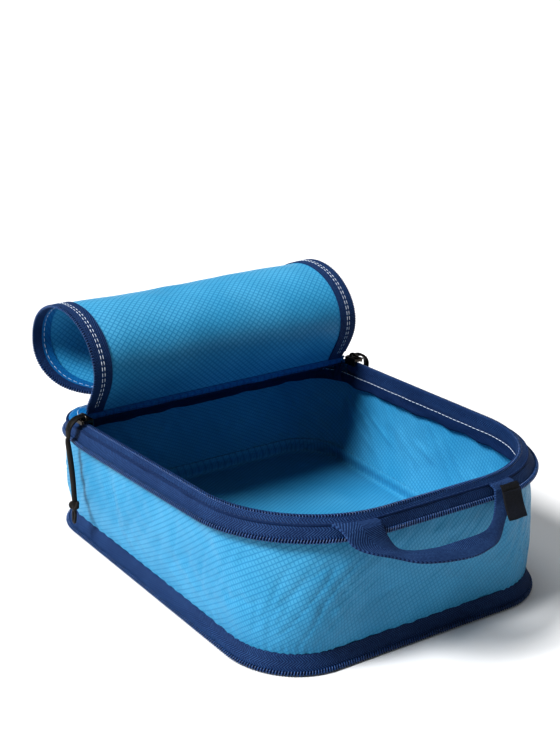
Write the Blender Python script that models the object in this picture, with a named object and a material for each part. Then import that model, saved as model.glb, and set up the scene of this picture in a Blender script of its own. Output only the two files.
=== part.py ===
"""A small expandable packing cube with its lid unzipped and rolled back.

Frame: +X across the bag, +Y from the handle at the front to the lid's hinge at the rear, +Z up.
The origin is the middle of the base's underside. Units are metres.
"""

import math
from collections import namedtuple

import bmesh
import bpy
from mathutils import Vector

# Overall shape ------------------------------------------------------------------------------
FRONT = -0.103
REAR = 0.103
CORNER_STEPS = 7
# The soft bag stands lower at the rear, so everything on the rim drops by this much per metre.
RIM_FALL = 0.067
GAP = 0.0003

# A rounded rectangle at one height: half width, front and rear edge, corner radii, height.
Ring = namedtuple("Ring", "half front rear front_radius rear_radius z")
RIM_TOP = Ring(0.0874, -0.0992, 0.0945, 0.0586, 0.0220, 0.0764)
SEAM = Ring(0.0911, -0.1023, 0.0978, 0.0586, 0.0220, 0.0731)
SKIRT_EDGE = Ring(0.0948, -0.1053, 0.1020, 0.0586, 0.0220, 0.0662)
GUSSET_TOP = Ring(0.0895, -0.1003, 0.0965, 0.0575, 0.0210, 0.0700)
GUSSET_MIDDLE = Ring(0.0905, -0.1025, 0.1005, 0.0450, 0.0240, 0.0390)
GUSSET_FOOT = Ring(0.0858, -0.0988, 0.0988, 0.0330, 0.0250, 0.0094)
LOWER_TAPE_TOP = Ring(0.0858, -0.0988, 0.0988, 0.0330, 0.0250, 0.0090)
LOWER_TAPE_FOOT = Ring(0.0882, -0.1012, 0.1012, 0.0350, 0.0265, 0.0015)
BASE_EDGE = Ring(0.0900, FRONT, REAR, 0.0360, 0.0272, 0.0022)
BASE_PANEL = Ring(0.0868, -0.0998, 0.0998, 0.0335, 0.0250, 0.0012)
BINDING_TOP = Ring(0.0880, -0.0988, 0.0950, 0.0560, 0.0195, 0.0700)

TAPE_THICK = 0.0008
GUSSET_THICK = 0.0010
RIM_COIL_THICK = 0.0012
COMPRESSION_COIL_THICK = 0.0014
# Where tape and coil begin and end on the skirt below the seam and on the rim above it, as shares
# of the way from the seam to the edge.
SKIRT_TAPE = (0.05, 0.78)
SKIRT_COIL_START = 0.83
RIM_TAPE = (0.08, 0.70)
RIM_COIL_START = 0.78
BINDING_THICK = 0.0008
BINDING_DEEP = 0.0045
BASE_COIL_LOW = 0.0005

# Rear end of the main zip, where the sliders park, and the strip behind it -------------------
ZIP_END = 0.0750
BACK_STRIP = Ring(0.0866, 0.0775, 0.0962, 0.0010, 0.0190, 0.0752)
BACK_STRIP_THICK = 0.0012
HINGE_BINDING_WIDE = 0.0045
CORNER_BINDING_HIGH = 0.0080
CORNER_BINDING_WIDE = 0.0040
CORNER_BINDING_THICK = 0.0012
CORNER_BINDING_INSET = 0.0020

# Lid: a chain of flat panels that stands rolled up on the back strip -------------------------
LID_PANELS = 11
LID_LENGTH = 0.176
LID_HALF = 0.0838
LID_CORNER = 0.0550
LID_TAPE_WIDE = 0.0105
LID_THICK = 0.0012
LID_JOINT_GAP = 0.0004
HINGE_Y = 0.0755
HINGE_LIFT = 0.0018
HINGE_START = Vector((0.0, -0.45, 1.0))
ROLL_CENTRE = (0.0990, 0.0897)
ROLL_RADII = (0.0325, 0.0255)
ROLL_TURN = 1.6
ROLL_STEPS = 2000
RISE_STEPS = 100

# Sliders, pulls and cords --------------------------------------------------------------------
SLIDER_Y = 0.0695
SLIDER_LONG = 0.0090
SLIDER_HIGH = 0.0026
SLIDER_WALL = 0.0009
SLIDER_BEVEL = 0.0006
SLIDER_INNER_LIP = 0.0018
SLIDER_OUTER_LIP = 0.0002
PULL_OUT = 0.0097
PULL_WIDE = 0.0042
PULL_THICK = 0.0010
PULL_HEEL = 0.0004
PULL_FLAT = 0.0048
PULL_BEND_DROP = 0.0052
CORD_DIAMETER = 0.0016
CORD_X = 0.0969
# Route of a pull's cord as (y, z), from the pull's hole down to the knot.
CORD_ROUTE = (
    (0.0695, 0.0578),
    (0.0695, 0.0540),
    (0.0672, 0.0440),
    (0.0640, 0.0330),
    (0.0622, 0.0262),
)
CORD_POINTS = 18
# Knot and frayed tail as (radius, height below the cord's end).
KNOT_PROFILE = (
    (0.0009, 0.0),
    (0.0022, -0.0009),
    (0.0026, -0.0024),
    (0.0020, -0.0040),
    (0.0011, -0.0050),
    (0.0013, -0.0085),
    (0.0017, -0.0118),
    (0.0007, -0.0128),
)
KNOT_SIDES = 12

COMPRESSION_SLIDER_HALF = 0.0045
COMPRESSION_SLIDER_DEEP = 0.0016
COMPRESSION_SLIDER_OUT = 0.0013
COMPRESSION_SLIDER_CAP = 0.0014
COMPRESSION_PULL_LONG = 0.0140
COMPRESSION_PULL_START = 0.0023
COMPRESSION_PULL_THICK = 0.0012
COMPRESSION_PULL_LOW = 0.0006

# Handle: pairs of (outer edge, inner edge) points from its left end to the middle ------------
HANDLE_EDGES = (
    ((-0.0500, -0.1052, 0.0722), (-0.0280, -0.1052, 0.0722)),
    ((-0.0498, -0.1082, 0.0655), (-0.0278, -0.1080, 0.0655)),
    ((-0.0468, -0.1140, 0.0560), (-0.0258, -0.1108, 0.0600)),
    ((-0.0345, -0.1225, 0.0475), (-0.0200, -0.1138, 0.0570)),
    ((-0.0180, -0.1275, 0.0420), (-0.0105, -0.1148, 0.0560)),
    ((0.0000, -0.1290, 0.0405), (0.0000, -0.1150, 0.0557)),
)
HANDLE_THICK = 0.0014
HANDLE_STEPS = 3
HANDLE_AXIS = Vector((0.0, -0.1060, 0.0722))
LABEL_SIDES = (0.0370, 0.0480)
LABEL_BACK = ((-0.1068, 0.0730), (-0.1100, 0.0655), (-0.1142, 0.0590))
LABEL_THICK = 0.0009

# The rim comes down level: the front travels further than the rear, so it turns about a far line.
COMPRESS_DROP = 0.055
COMPRESS_AXIS = Vector((0.0, FRONT + COMPRESS_DROP / RIM_FALL, 0.045))

LOOKS = {
    "ripstop": ((0.10, 0.38, 0.72), 0.45, 0.0),
    "navy_tape": ((0.015, 0.05, 0.16), 0.70, 0.0),
    "navy_coil": ((0.02, 0.06, 0.20), 0.40, 0.0),
    "webbing": ((0.012, 0.06, 0.20), 0.65, 0.0),
    "black_metal": ((0.015, 0.015, 0.017), 0.35, 0.6),
    "black_rubber": ((0.012, 0.012, 0.013), 0.55, 0.0),
    "black_cord": ((0.010, 0.010, 0.011), 0.80, 0.0),
    "label": ((0.012, 0.012, 0.014), 0.75, 0.0),
}
pivot_places = {}


# Scene helpers -------------------------------------------------------------------------------
def clear_scene():
    for old in list(bpy.data.objects):
        bpy.data.objects.remove(old, do_unlink=True)


def pivot(name, place, parent=None):
    """An empty on a joint's axis, which that joint's pieces hang from."""
    empty = bpy.data.objects.new(name, None)
    bpy.context.scene.collection.objects.link(empty)
    empty.location = Vector(place)
    if parent is not None:
        empty.parent = parent
        empty.location = Vector(place) - pivot_places[parent.name]
    pivot_places[name] = Vector(place)
    return empty


def material(name, look):
    colour, roughness, metallic = LOOKS[look]
    made = bpy.data.materials.new(name)
    made.use_nodes = True
    shader = made.node_tree.nodes["Principled BSDF"]
    shader.inputs["Base Color"].default_value = (*colour, 1.0)
    shader.inputs["Roughness"].default_value = roughness
    shader.inputs["Metallic"].default_value = metallic
    return made


def place(obj, look, parent):
    """Link a finished object, give it its own material and hang it from its pivot."""
    obj.data.materials.append(material(f"{obj.name}_{look}", look))
    bpy.context.scene.collection.objects.link(obj)
    if parent is not None:
        obj.parent = parent
    return obj


def mesh_piece(name, bm, look, parent=None):
    bmesh.ops.recalc_face_normals(bm, faces=bm.faces)
    if parent is not None:
        bmesh.ops.translate(bm, verts=bm.verts, vec=-pivot_places[parent.name])
    mesh = bpy.data.meshes.new(name)
    bm.to_mesh(mesh)
    bm.free()
    return place(bpy.data.objects.new(name, mesh), look, parent)


# Geometry helpers ----------------------------------------------------------------------------
def mix(a, b, share):
    """The ring that lies this share of the way from a to b."""
    return Ring(*(p + (q - p) * share for p, q in zip(a, b)))


def inset(ring, amount):
    return ring._replace(
        half=ring.half - amount,
        front=ring.front + amount,
        rear=ring.rear - amount,
        front_radius=max(ring.front_radius - amount, 0.0005),
        rear_radius=max(ring.rear_radius - amount, 0.0005),
    )


def fallen(x, y, z, fall=1.0):
    """A point of the level rim, moved down to where the slack bag holds it."""
    return Vector((x, y, z - RIM_FALL * fall * (y - FRONT)))


def arc(centre_x, centre_y, radius, start, stop):
    for step in range(CORNER_STEPS):
        angle = math.radians(start + (stop - start) * step / (CORNER_STEPS - 1))
        yield centre_x + radius * math.cos(angle), centre_y + radius * math.sin(angle)


def front_corners(ring):
    y = ring.front + ring.front_radius
    x = ring.half - ring.front_radius
    yield from arc(-x, y, ring.front_radius, 180, 270)
    yield from arc(x, y, ring.front_radius, 270, 360)


def rear_corners(ring):
    y = ring.rear - ring.rear_radius
    x = ring.half - ring.rear_radius
    yield from arc(x, y, ring.rear_radius, 0, 90)
    yield from arc(-x, y, ring.rear_radius, 90, 180)


def whole_outline(ring, fall=1.0):
    flat = [*front_corners(ring), *rear_corners(ring)]
    return [fallen(x, y, ring.z, fall) for x, y in flat]


def front_outline(ring, end_y):
    """The outline from end_y on the left, round the front, to end_y on the right."""
    flat = [(-ring.half, end_y), *front_corners(ring), (ring.half, end_y)]
    return [fallen(x, y, ring.z) for x, y in flat]


def loft(sections, closed):
    """A solid whose cross-section has one corner on each of the given lines."""
    bm = bmesh.new()
    lines = [[bm.verts.new(point) for point in section] for section in sections]
    count = len(lines[0])
    for line, following in zip(lines, lines[1:] + lines[:1]):
        for i in range(count if closed else count - 1):
            j = (i + 1) % count
            bm.faces.new((line[i], line[j], following[j], following[i]))
    if not closed:
        bm.faces.new([line[0] for line in lines])
        bm.faces.new([line[-1] for line in reversed(lines)])
    return bm


def prism(outline, offset):
    """A closed outline of points, thickened by offset."""
    bm = bmesh.new()
    low = [bm.verts.new(Vector(point)) for point in outline]
    high = [bm.verts.new(Vector(point) + Vector(offset)) for point in outline]
    bm.faces.new(low)
    bm.faces.new(high)
    for i, point in enumerate(low):
        j = (i + 1) % len(low)
        bm.faces.new((point, low[j], high[j], high[i]))
    return bm


def band(upper, lower, thick, fall=1.0, end_y=None):
    """A strip of tape between two rings, all the way round or open at the rear."""
    rings = (upper, lower, inset(lower, thick), inset(upper, thick))
    if end_y is None:
        return loft([whole_outline(ring, fall) for ring in rings], closed=True)
    return loft([front_outline(ring, end_y) for ring in rings], closed=False)


def smooth_through(points, count):
    """Points at even steps along a Catmull-Rom curve through the given ones."""
    points = [Vector(point) for point in points]
    padded = [2 * points[0] - points[1], *points, 2 * points[-1] - points[-2]]
    made = []
    for step in range(count):
        where = step * (len(points) - 1) / (count - 1)
        i = min(int(where), len(points) - 2)
        t = where - i
        a, b, c, d = padded[i : i + 4]
        square = (2 * a - 5 * b + 4 * c - d) * t**2
        cube = (3 * b - a - 3 * c + d) * t**3
        made.append((2 * b + (c - a) * t + square + cube) / 2)
    return made


# Base and walls ------------------------------------------------------------------------------
def make_base():
    underside = whole_outline(BASE_PANEL._replace(z=0.0), 0)
    mesh_piece("base_panel", prism(underside, (0, 0, BASE_PANEL.z)), "ripstop")
    tape = band(LOWER_TAPE_TOP, LOWER_TAPE_FOOT, TAPE_THICK, fall=0)
    mesh_piece("lower_compression_tape", tape, "navy_tape")
    coil = band(BASE_EDGE, BASE_EDGE._replace(z=BASE_COIL_LOW), COMPRESSION_COIL_THICK, fall=0)
    mesh_piece("lower_compression_coil", coil, "navy_coil")
    outer = ((GUSSET_TOP, 1.0), (GUSSET_MIDDLE, 0.5), (GUSSET_FOOT, 0.0))
    inner = [(inset(ring, GUSSET_THICK), fall) for ring, fall in reversed(outer)]
    sections = [whole_outline(ring, fall) for ring, fall in (*outer, *inner)]
    mesh_piece("gusset", loft(sections, closed=True), "ripstop")


def make_rim(parent):
    upper, lower = (mix(SEAM, SKIRT_EDGE, share) for share in SKIRT_TAPE)
    mesh_piece("upper_compression_tape", band(upper, lower, TAPE_THICK), "navy_tape", parent)
    coil = band(mix(SEAM, SKIRT_EDGE, SKIRT_COIL_START), SKIRT_EDGE, COMPRESSION_COIL_THICK)
    mesh_piece("upper_compression_coil", coil, "navy_coil", parent)
    lower, upper = (mix(SEAM, RIM_TOP, share) for share in RIM_TAPE)
    tape = band(upper, lower, TAPE_THICK, end_y=ZIP_END)
    mesh_piece("rim_zip_tape", tape, "navy_tape", parent)
    coil = band(RIM_TOP, mix(SEAM, RIM_TOP, RIM_COIL_START), RIM_COIL_THICK, end_y=ZIP_END)
    mesh_piece("rim_zip_coil", coil, "navy_coil", parent)
    low = inset(BINDING_TOP, BINDING_THICK)._replace(z=BINDING_TOP.z - BINDING_DEEP)
    mesh_piece("rim_seam_binding", band(BINDING_TOP, low, BINDING_THICK), "navy_tape", parent)
    strip = [fallen(x, y, BACK_STRIP.z - BACK_STRIP_THICK) for x, y in
             (*front_corners(BACK_STRIP), *rear_corners(BACK_STRIP))]
    mesh_piece("back_strip", prism(strip, (0, 0, BACK_STRIP_THICK)), "ripstop", parent)
    half = BINDING_TOP.half - 2 * BINDING_THICK - GAP
    top = BACK_STRIP.z - BACK_STRIP_THICK - GAP
    front = BACK_STRIP.front
    corners = ((-half, front), (half, front), (half, front + HINGE_BINDING_WIDE),
               (-half, front + HINGE_BINDING_WIDE))
    under = [fallen(x, y, top - BINDING_THICK) for x, y in corners]
    mesh_piece("lid_hinge_binding", prism(under, (0, 0, BINDING_THICK)), "navy_tape", parent)
    low = top - BINDING_THICK - GAP - CORNER_BINDING_HIGH
    outside = half - CORNER_BINDING_INSET
    inside = outside - CORNER_BINDING_THICK
    rear = front + CORNER_BINDING_WIDE
    for side, sign in (("left", -1), ("right", 1)):
        corners = ((outside, front), (outside, rear), (inside, rear), (inside, front))
        foot = [fallen(sign * x, y, low) for x, y in corners]
        upright = prism(foot, (0, 0, CORNER_BINDING_HIGH))
        mesh_piece(f"corner_binding_{side}", upright, "navy_tape", parent)


# Lid -----------------------------------------------------------------------------------------
def lid_hinge_point():
    return fallen(0.0, HINGE_Y, RIM_TOP.z + HINGE_LIFT)


def lid_path():
    """The rolled lid seen from the side: up from the hinge, over, down the back and in underneath."""
    turn = [math.pi - (1 + ROLL_TURN) * math.pi * i / ROLL_STEPS for i in range(ROLL_STEPS + 1)]
    centre = Vector((0, *ROLL_CENTRE))
    roll = [centre + Vector((0, ROLL_RADII[0] * math.cos(a), ROLL_RADII[1] * math.sin(a))) for a in turn]
    start = lid_hinge_point()
    reach = (roll[0] - start).length
    leave = HINGE_START.normalized() * reach
    arrive = (roll[1] - roll[0]).normalized() * reach
    rise = []
    for step in range(RISE_STEPS):
        t = step / RISE_STEPS
        rise.append(
            (2 * t**3 - 3 * t**2 + 1) * start + (t**3 - 2 * t**2 + t) * leave
            + (3 * t**2 - 2 * t**3) * roll[0] + (t**3 - t**2) * arrive
        )
    return rise + roll


def lid_joints():
    """The ends of the lid's panels, at even steps along its length."""
    path = lid_path()
    found = [path[0]]
    done = 0.0
    for a, b in zip(path, path[1:]):
        step = (b - a).length
        while len(found) <= LID_PANELS and done + step >= len(found) * LID_LENGTH / LID_PANELS:
            share = (len(found) * LID_LENGTH / LID_PANELS - done) / step
            found.append(a.lerp(b, share))
        done += step
    return found


def lid_half(along, border):
    """Half the lid's width this far from its hinge, inside a border of that width."""
    radius = LID_CORNER - border
    past = along - (LID_LENGTH - LID_CORNER)
    if past <= 0:
        return LID_HALF - border
    return LID_HALF - LID_CORNER + math.sqrt(max(radius**2 - past**2, 0.0))


def lid_edge(start, stop, border):
    """Points (x, distance from the hinge) down the right edge of one panel."""
    steps = 5 if stop > LID_LENGTH - LID_CORNER else 2
    alongs = [start + (stop - start) * i / (steps - 1) for i in range(steps)]
    return [(lid_half(along, border), along) for along in alongs]


def mirrored(edge):
    return [(-x, along) for x, along in reversed(edge)]


def make_lid(rim_pivot):
    joints = lid_joints()
    parent = rim_pivot
    reach = LID_LENGTH / LID_PANELS
    for number, (near, far) in enumerate(zip(joints, joints[1:]), start=1):
        parent = pivot(f"lid_joint_{number:02d}", near, parent)
        along_axis = (far - near).normalized()
        normal = Vector((1, 0, 0)).cross(along_axis)
        chord = (far - near).length
        start, stop = (number - 1) * reach, number * reach

        def on_panel(x, along):
            share = LID_JOINT_GAP + (along - start) / reach * (chord - 2 * LID_JOINT_GAP)
            return Vector((x, 0, 0)) + near + along_axis * share - normal * LID_THICK / 2

        inner_stop = min(stop, LID_LENGTH - LID_TAPE_WIDE)
        middle = lid_edge(start, inner_stop, LID_TAPE_WIDE + GAP / 2)
        middle[-1] = (middle[-1][0], inner_stop - (GAP if inner_stop < stop else 0))
        panel = prism([on_panel(*point) for point in middle + mirrored(middle)], normal * LID_THICK)
        mesh_piece(f"lid_panel_{number:02d}", panel, "ripstop", parent)

        outer = lid_edge(start, stop, 0.0)
        inner = lid_edge(start, inner_stop, LID_TAPE_WIDE - GAP / 2)
        right = outer + list(reversed(inner))
        outlines = {f"right_{number:02d}": right, f"left_{number:02d}": [(-x, s) for x, s in right]}
        if inner_stop < stop:
            left_inner = [(-x, s) for x, s in inner]
            outlines = {"front": outer + mirrored(outer) + left_inner + list(reversed(inner))}
        for place_name, outline in outlines.items():
            tape = prism([on_panel(*point) for point in outline], normal * LID_THICK)
            mesh_piece(f"lid_zip_{place_name}", tape, "navy_tape", parent)


# Sliders, pulls and cords --------------------------------------------------------------------
def extrude_along_y(section, y_from, y_to, fall=1.0):
    """A section given as (x, z) points, run from one y to another on the rim's slope."""
    near = [fallen(x, y_from, z, fall) for x, z in section]
    far = [fallen(x, y_to, z, fall) for x, z in section]
    return loft([[a, b] for a, b in zip(near, far)], closed=False)


def make_slider(side, sign, rim_pivot):
    """A channel over the coil's edge: a plate on top, a deep inner lip and a short outer lip."""
    top = RIM_TOP.z
    half = RIM_TOP.half
    inner = half - RIM_COIL_THICK - GAP
    outer = half + GAP
    section = [
        (inner - SLIDER_WALL, top - SLIDER_INNER_LIP),
        (inner, top - SLIDER_INNER_LIP),
        (inner, top + GAP),
        (outer, top + GAP),
        (outer, top - SLIDER_OUTER_LIP),
        (outer + SLIDER_WALL, top - SLIDER_OUTER_LIP),
        (outer + SLIDER_WALL, top + SLIDER_HIGH - SLIDER_BEVEL),
        (outer, top + SLIDER_HIGH),
        (inner, top + SLIDER_HIGH),
        (inner - SLIDER_WALL, top + SLIDER_HIGH - SLIDER_BEVEL),
    ]
    section = [(sign * x, z) for x, z in section]
    home = fallen(sign * half, SLIDER_Y, top + SLIDER_HIGH)
    slider = pivot(f"slider_path_{side}", home, rim_pivot)
    body = extrude_along_y(section, SLIDER_Y - SLIDER_LONG / 2, SLIDER_Y + SLIDER_LONG / 2)
    mesh_piece(f"slider_{side}", body, "black_metal", slider)
    return slider


def make_pull(side, sign, slider):
    """A flat rubber pull that lies over the rim's edge and hangs down outside."""
    top = RIM_TOP.z + SLIDER_HIGH + GAP
    half = RIM_TOP.half
    axis = fallen(sign * half, SLIDER_Y, top + PULL_THICK / 2)
    swing = pivot(f"pull_axis_{side}", axis, slider)
    foot = CORD_ROUTE[0][1] + RIM_FALL * (SLIDER_Y - FRONT) + GAP
    outside = half + PULL_OUT
    section = [
        (half - PULL_HEEL, top),
        (half + PULL_FLAT, top),
        (outside - PULL_THICK, top - PULL_BEND_DROP),
        (outside - PULL_THICK, foot),
        (outside, foot),
        (outside, top - PULL_BEND_DROP + PULL_THICK / 2),
        (half + PULL_FLAT + PULL_THICK / 2, top + PULL_THICK),
        (half - PULL_HEEL, top + PULL_THICK),
    ]
    section = [(sign * x, z) for x, z in section]
    tab = extrude_along_y(section, SLIDER_Y - PULL_WIDE / 2, SLIDER_Y + PULL_WIDE / 2, fall=0)
    bmesh.ops.translate(tab, verts=tab.verts, vec=(0, 0, -RIM_FALL * (SLIDER_Y - FRONT)))
    mesh_piece(f"pull_{side}", tab, "black_rubber", swing)
    make_cord(side, sign, swing)


def make_cord(side, sign, swing):
    route = smooth_through([(sign * CORD_X, y, z) for y, z in CORD_ROUTE], CORD_POINTS)
    curve = bpy.data.curves.new(f"pull_cord_{side}", "CURVE")
    curve.dimensions = "3D"
    curve.bevel_depth = CORD_DIAMETER / 2
    curve.bevel_resolution = 2
    curve.use_fill_caps = True
    spline = curve.splines.new("POLY")
    spline.points.add(len(route) - 1)
    for point, where in zip(spline.points, route):
        point.co = (*(where - pivot_places[swing.name]), 1.0)
    place(bpy.data.objects.new(f"pull_cord_{side}", curve), "black_cord", swing)
    knot_top = route[-1] - Vector((0, 0, GAP))
    rings = []
    for radius, drop in KNOT_PROFILE:
        turns = [2 * math.pi * i / KNOT_SIDES for i in range(KNOT_SIDES)]
        rings.append([knot_top + Vector((radius * math.cos(a), radius * math.sin(a), drop)) for a in turns])
    bm = bmesh.new()
    lines = [[bm.verts.new(point) for point in ring] for ring in rings]
    for line, following in zip(lines, lines[1:]):
        for i in range(KNOT_SIDES):
            j = (i + 1) % KNOT_SIDES
            bm.faces.new((line[i], line[j], following[j], following[i]))
    bm.faces.new(lines[0])
    bm.faces.new(lines[-1])
    mesh_piece(f"pull_knot_{side}", bm, "black_cord", swing)


def make_compression_slider():
    """The hidden slider of the lower zip, parked in the middle of the rear edge."""
    slider = pivot("compression_slider_path", (0, REAR, 0))
    half = COMPRESSION_SLIDER_HALF
    top = BASE_EDGE.z + GAP
    inside, outside = REAR - COMPRESSION_SLIDER_DEEP, REAR + COMPRESSION_SLIDER_OUT
    section = [
        (inside, top),
        (REAR + GAP, top),
        (REAR + GAP, GAP),
        (outside, GAP),
        (outside, top + COMPRESSION_SLIDER_CAP),
        (inside, top + COMPRESSION_SLIDER_CAP),
    ]
    near = [Vector((-half, y, z)) for y, z in section]
    far = [Vector((half, y, z)) for y, z in section]
    body = loft([[a, b] for a, b in zip(near, far)], closed=False)
    mesh_piece("compression_slider", body, "black_metal", slider)
    start = REAR + COMPRESSION_PULL_START
    stop = start + COMPRESSION_PULL_LONG
    middle = COMPRESSION_PULL_LOW + COMPRESSION_PULL_THICK / 2
    swing = pivot("compression_pull_axis", (0, start, middle), slider)
    wide = PULL_WIDE / 2
    corners = ((-wide, start), (wide, start), (wide, stop), (-wide, stop))
    flat = [Vector((x, y, COMPRESSION_PULL_LOW)) for x, y in corners]
    tab = prism(flat, (0, 0, COMPRESSION_PULL_THICK))
    mesh_piece("compression_pull", tab, "black_rubber", swing)


# Handle and label ----------------------------------------------------------------------------
def handle_edges():
    """The handle's outer and inner edge, from its left end to its right end."""
    outer = [Vector(pair[0]) for pair in HANDLE_EDGES]
    inner = [Vector(pair[1]) for pair in HANDLE_EDGES]
    flip = Vector((-1, 1, 1))
    outer += [point * flip for point in reversed(outer[:-1])]
    inner += [point * flip for point in reversed(inner[:-1])]
    count = (len(outer) - 1) * HANDLE_STEPS + 1
    return smooth_through(outer, count), smooth_through(inner, count)


def make_handle(rim_pivot):
    swing = pivot("handle_axis", HANDLE_AXIS, rim_pivot)
    outer, inner = handle_edges()
    lines = [[], [], [], []]
    for i, (a, b) in enumerate(zip(outer, inner)):
        before, after = max(i - 1, 0), min(i + 1, len(outer) - 1)
        along = (outer[after] + inner[after]) - (outer[before] + inner[before])
        normal = along.cross(b - a).normalized() * HANDLE_THICK / 2
        for line, point in zip(lines, (a - normal, a + normal, b + normal, b - normal)):
            line.append(point)
    mesh_piece("handle_webbing", loft(lines, closed=False), "webbing", swing)
    section = [*LABEL_BACK, *((y - LABEL_THICK, z) for y, z in reversed(LABEL_BACK))]
    sides = [[Vector((x, y, z)) for x in LABEL_SIDES] for y, z in section]
    mesh_piece("label_tag", loft(sides, closed=False), "label", swing)


def main():
    clear_scene()
    make_base()
    make_compression_slider()
    rim = pivot("compress_axis", COMPRESS_AXIS)
    make_rim(rim)
    make_lid(rim)
    make_handle(rim)
    for side, sign in (("left", -1), ("right", 1)):
        slider = make_slider(side, sign, rim)
        make_pull(side, sign, slider)


main()
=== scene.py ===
"""Looks of the packing cube: cloth, zips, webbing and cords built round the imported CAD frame.

Units are metres. +X is across the bag, +Y runs from the handle to the lid's hinge, +Z is up.
"""

import bisect
import math
from collections import namedtuple

import bpy
from mathutils import Matrix, Vector, noise


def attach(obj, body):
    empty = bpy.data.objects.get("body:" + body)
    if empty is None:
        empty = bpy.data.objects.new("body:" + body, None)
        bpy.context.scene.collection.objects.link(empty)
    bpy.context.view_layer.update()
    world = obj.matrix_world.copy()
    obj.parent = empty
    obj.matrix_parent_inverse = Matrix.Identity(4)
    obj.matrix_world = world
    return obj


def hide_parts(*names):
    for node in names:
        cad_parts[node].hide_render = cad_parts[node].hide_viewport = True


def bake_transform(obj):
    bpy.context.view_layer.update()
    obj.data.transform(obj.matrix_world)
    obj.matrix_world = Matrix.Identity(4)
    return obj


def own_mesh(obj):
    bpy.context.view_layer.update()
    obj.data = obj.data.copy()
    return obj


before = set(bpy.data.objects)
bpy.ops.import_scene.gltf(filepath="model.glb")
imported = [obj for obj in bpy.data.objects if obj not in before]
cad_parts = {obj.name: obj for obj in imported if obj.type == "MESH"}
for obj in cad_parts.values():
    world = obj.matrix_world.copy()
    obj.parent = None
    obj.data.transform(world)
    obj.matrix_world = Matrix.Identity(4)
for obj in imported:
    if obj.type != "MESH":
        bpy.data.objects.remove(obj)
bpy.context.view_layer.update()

# Shape, as in the CAD -------------------------------------------------------------------------
FRONT = -0.103
RIM_FALL = 0.067
Ring = namedtuple("Ring", "half front rear front_radius rear_radius z")
RIM_TOP = Ring(0.0874, -0.0992, 0.0945, 0.0586, 0.0220, 0.0764)
SEAM = Ring(0.0911, -0.1023, 0.0978, 0.0586, 0.0220, 0.0731)
SKIRT_EDGE = Ring(0.0948, -0.1053, 0.1020, 0.0586, 0.0220, 0.0662)
GUSSET_TOP = Ring(0.0900, -0.1010, 0.0966, 0.0578, 0.0211, 0.0726)
GUSSET_MIDDLE = Ring(0.0905, -0.1025, 0.1005, 0.0450, 0.0240, 0.0390)
GUSSET_FOOT = Ring(0.0858, -0.0988, 0.0988, 0.0330, 0.0250, 0.0085)
LOWER_TAPE_TOP = Ring(0.0862, -0.0992, 0.0992, 0.0332, 0.0252, 0.0096)
LOWER_TAPE_FOOT = Ring(0.0892, -0.1022, 0.1022, 0.0352, 0.0267, 0.0016)
BASE_EDGE = Ring(0.0897, -0.1027, 0.1027, 0.0360, 0.0272, 0.0013)
BASE_PANEL = Ring(0.0866, -0.0996, 0.0996, 0.0335, 0.0250, 0.0011)
ZIP_END = 0.0750

LID_PANELS = 11
LID_LENGTH = 0.176
LID_HALF = 0.0838
LID_CORNER = 0.0550
HINGE_Y = 0.0755
HINGE_LIFT = 0.0018
HINGE_START = Vector((0.0, -0.45, 1.0))
ROLL_CENTRE = (0.0990, 0.0897)
ROLL_RADII = (0.0325, 0.0255)
ROLL_TURN = 1.6

SLIDER_Y = 0.0695
CORD_X = 0.0969
CORD_DIAMETER = 0.0025
# The cord's route as (y, z), from the pull's hole down to the knot.
CORD_ROUTE = ((0.0695, 0.0578), (0.0695, 0.0540), (0.0672, 0.0440), (0.0640, 0.0330), (0.0622, 0.0262))
HANDLE_AXIS_Y = -0.1060
HANDLE_WIDE = 0.0215
# The outer and the inner edge of the handle's webbing, from its left end to its right.
HANDLE_OUTER = (
    (-0.0575, -0.1058, 0.0722), (-0.0560, -0.1110, 0.0680), (-0.0480, -0.1175, 0.0650),
    (-0.0381, -0.1215, 0.0625), (-0.0250, -0.1270, 0.0592), (-0.0014, -0.1280, 0.0559),
    (0.0150, -0.1245, 0.0545), (0.0255, -0.1190, 0.0548), (0.0350, -0.1120, 0.0605),
    (0.0450, -0.1058, 0.0722),
)
HANDLE_INNER = (
    (-0.0365, -0.1058, 0.0722), (-0.0350, -0.1085, 0.0670), (-0.0315, -0.1120, 0.0612),
    (-0.0230, -0.1140, 0.0582), (-0.0145, -0.1150, 0.0577), (-0.0039, -0.1165, 0.0581),
    (0.0138, -0.1160, 0.0578), (0.0235, -0.1130, 0.0585), (0.0300, -0.1085, 0.0640),
    (0.0315, -0.1058, 0.0722),
)

# Fine detail that several pieces share.
UP = Vector((0, 0, 1))
COIL_PITCH = 0.00140
COIL_STEPS = 7
LID_COIL_STEPS = 8
TAPE_THICK = 0.0007
CLOTH_THICK = 0.00030
WEBBING_THICK = 0.0013


# Outlines -------------------------------------------------------------------------------------
def mix(a, b, share):
    """The outline at this share of the way from a to b."""
    return Ring(*(p + (q - p) * share for p, q in zip(a, b)))


def grown(ring, amount):
    """An outline that runs this far outside another."""
    return ring._replace(
        half=ring.half + amount,
        front=ring.front - amount,
        rear=ring.rear + amount,
        front_radius=ring.front_radius + amount,
        rear_radius=ring.rear_radius + amount,
    )


def fallen(x, y, z, fall=1.0):
    """A point lowered by the rim's slope: the rim is lower at the rear than at the front."""
    return Vector((x, y, z - RIM_FALL * fall * (y - FRONT)))


def corner(ring, name, degrees):
    """A point of the outline: on one of its corners, or at an end of the main zip."""
    side = -1 if name[1] == "l" else 1
    if name[0] == "e":
        return Vector((side * ring.half, ZIP_END))
    radius = ring.front_radius if name[0] == "f" else ring.rear_radius
    y = ring.front + radius if name[0] == "f" else ring.rear - radius
    turn = math.radians(degrees)
    return Vector((side * (ring.half - radius) + radius * math.cos(turn), y + radius * math.sin(turn)))


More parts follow.
